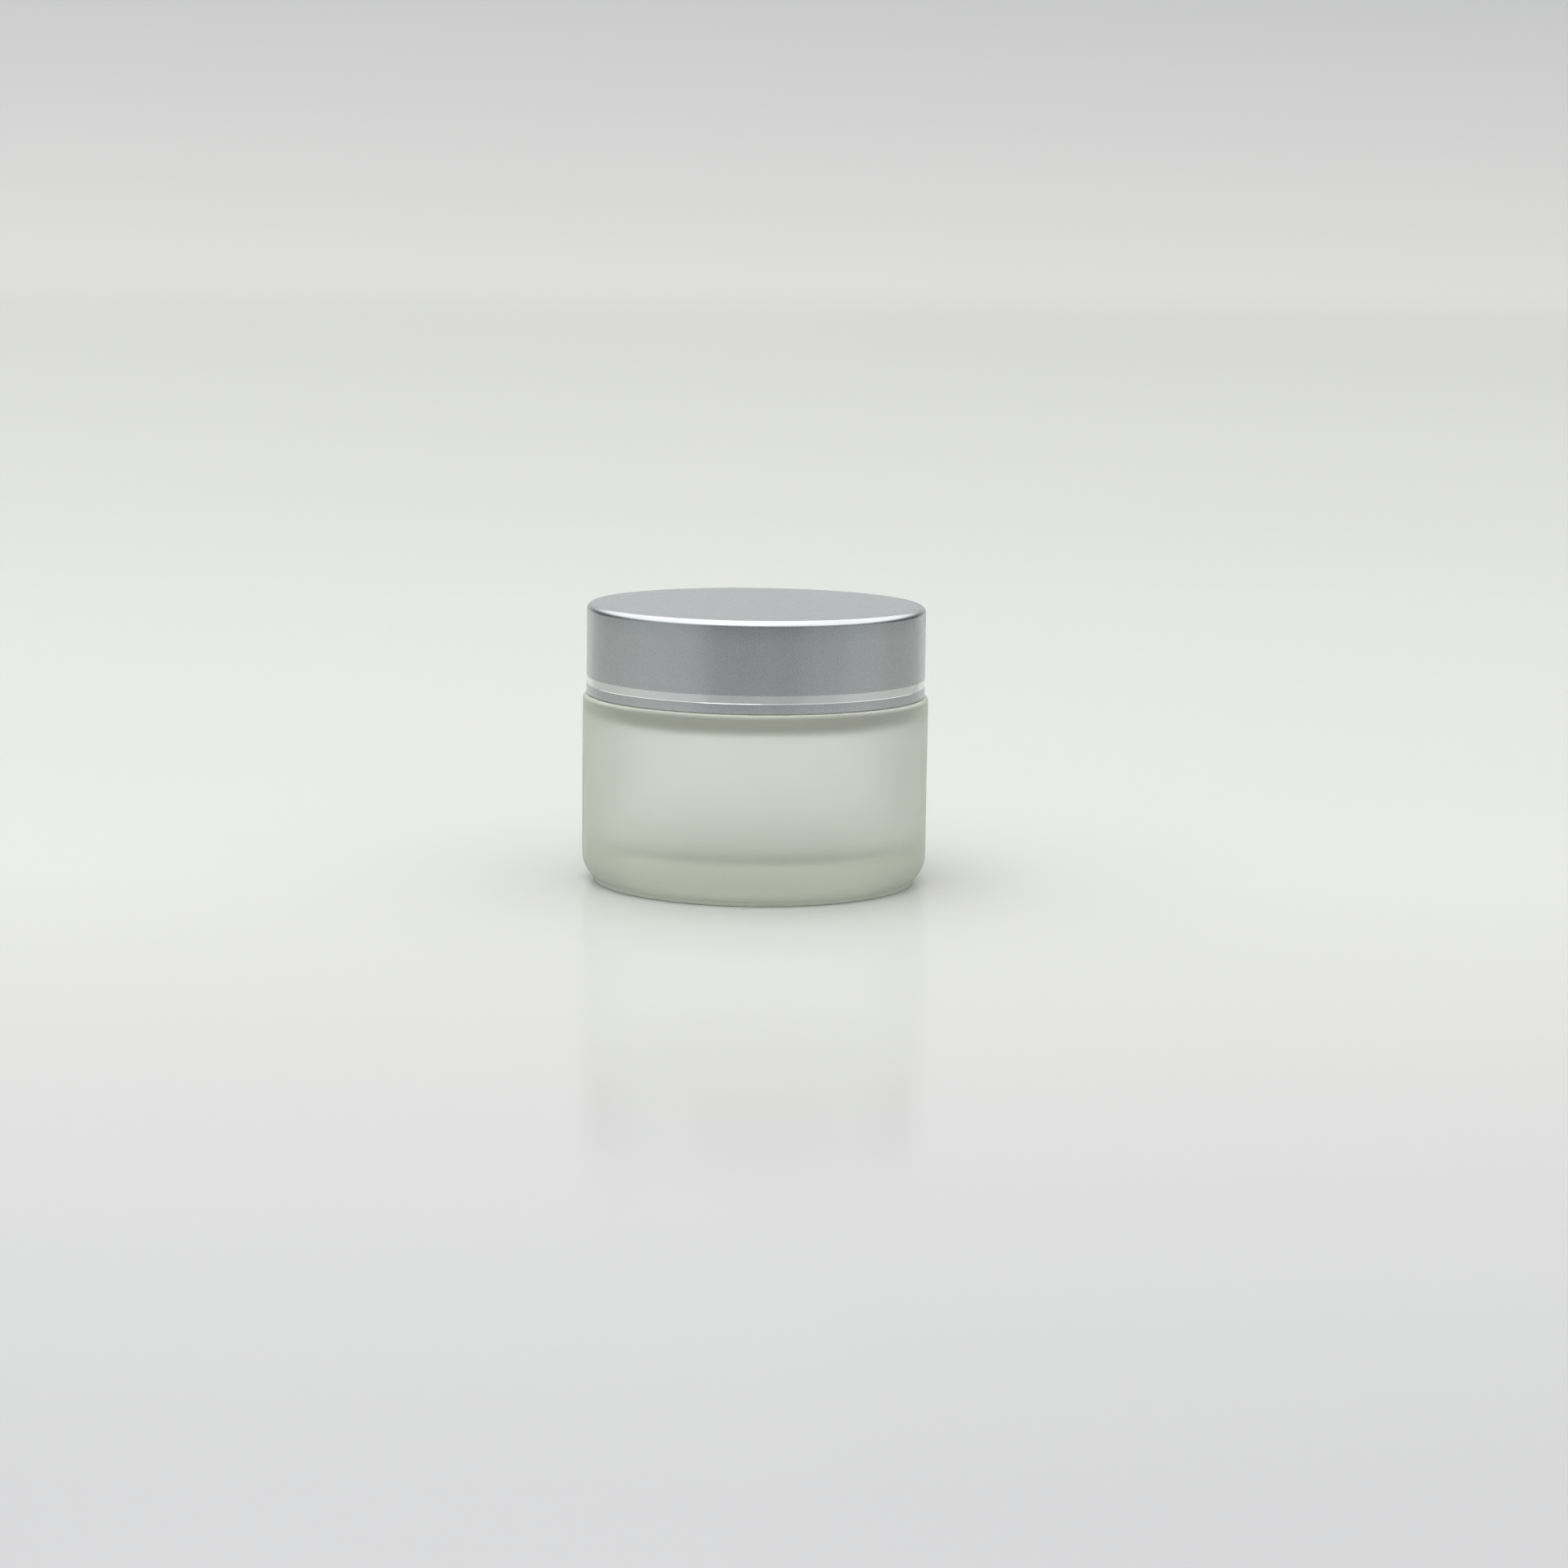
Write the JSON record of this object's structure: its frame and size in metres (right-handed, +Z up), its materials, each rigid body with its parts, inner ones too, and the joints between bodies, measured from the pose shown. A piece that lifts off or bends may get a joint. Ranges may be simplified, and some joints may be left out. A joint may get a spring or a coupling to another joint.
{
  "type": "cosmetic cream jar",
  "caption": "Squat round cream jar of frosted glass with a thick base, closed by a flat screw lid of satin aluminium with a bright band near its lower edge.",
  "frame": {"origin": "centre of the jar's foot, in the plane it stands on", "axes": "+Z up along the jar's axis; +X to the right and -Y towards the front"},
  "size_m": [0.06, 0.06, 0.0482],
  "materials": {
    "frosted_glass": "satin",
    "natural_polypropylene": "satin",
    "polyethylene_foam": "matte",
    "white_polypropylene": "satin",
    "hot_melt_adhesive": "gloss",
    "anodised_aluminium": "satin"
  },
  "bodies": {
    "jar": {"glass_jar": "frosted_glass"},
    "disc": {"sealing_disc": "natural_polypropylene"},
    "liner": {"foam_liner": "polyethylene_foam"},
    "lid": {"aluminium_shell": "anodised_aluminium", "inner_cap": "white_polypropylene", "adhesive_dabs": "hot_melt_adhesive"}
  },
  "joints": [
    {"name": "lid_lift", "type": "slide", "parent": "jar", "child": "liner", "axis": [0, 0, 1], "range_m": [0, 0.032]},
    {"name": "lid_turn", "type": "hinge", "parent": "liner", "child": "lid", "pos_m": [0, 0, 0.0405], "axis": [0, 0, 1], "range_deg": [0, 2720]},
    {"name": "disc_lift", "type": "slide", "parent": "jar", "child": "disc", "axis": [0, 0, 1], "range_m": [0, 0.0128]}
  ],
  "couplings": [
    {"joint": "lid_lift", "follows": "lid_turn", "m_per_rad": 0.00067354},
    {"joint": "disc_lift", "follows": "lid_turn", "m_per_rad": 0.00026942}
  ]
}
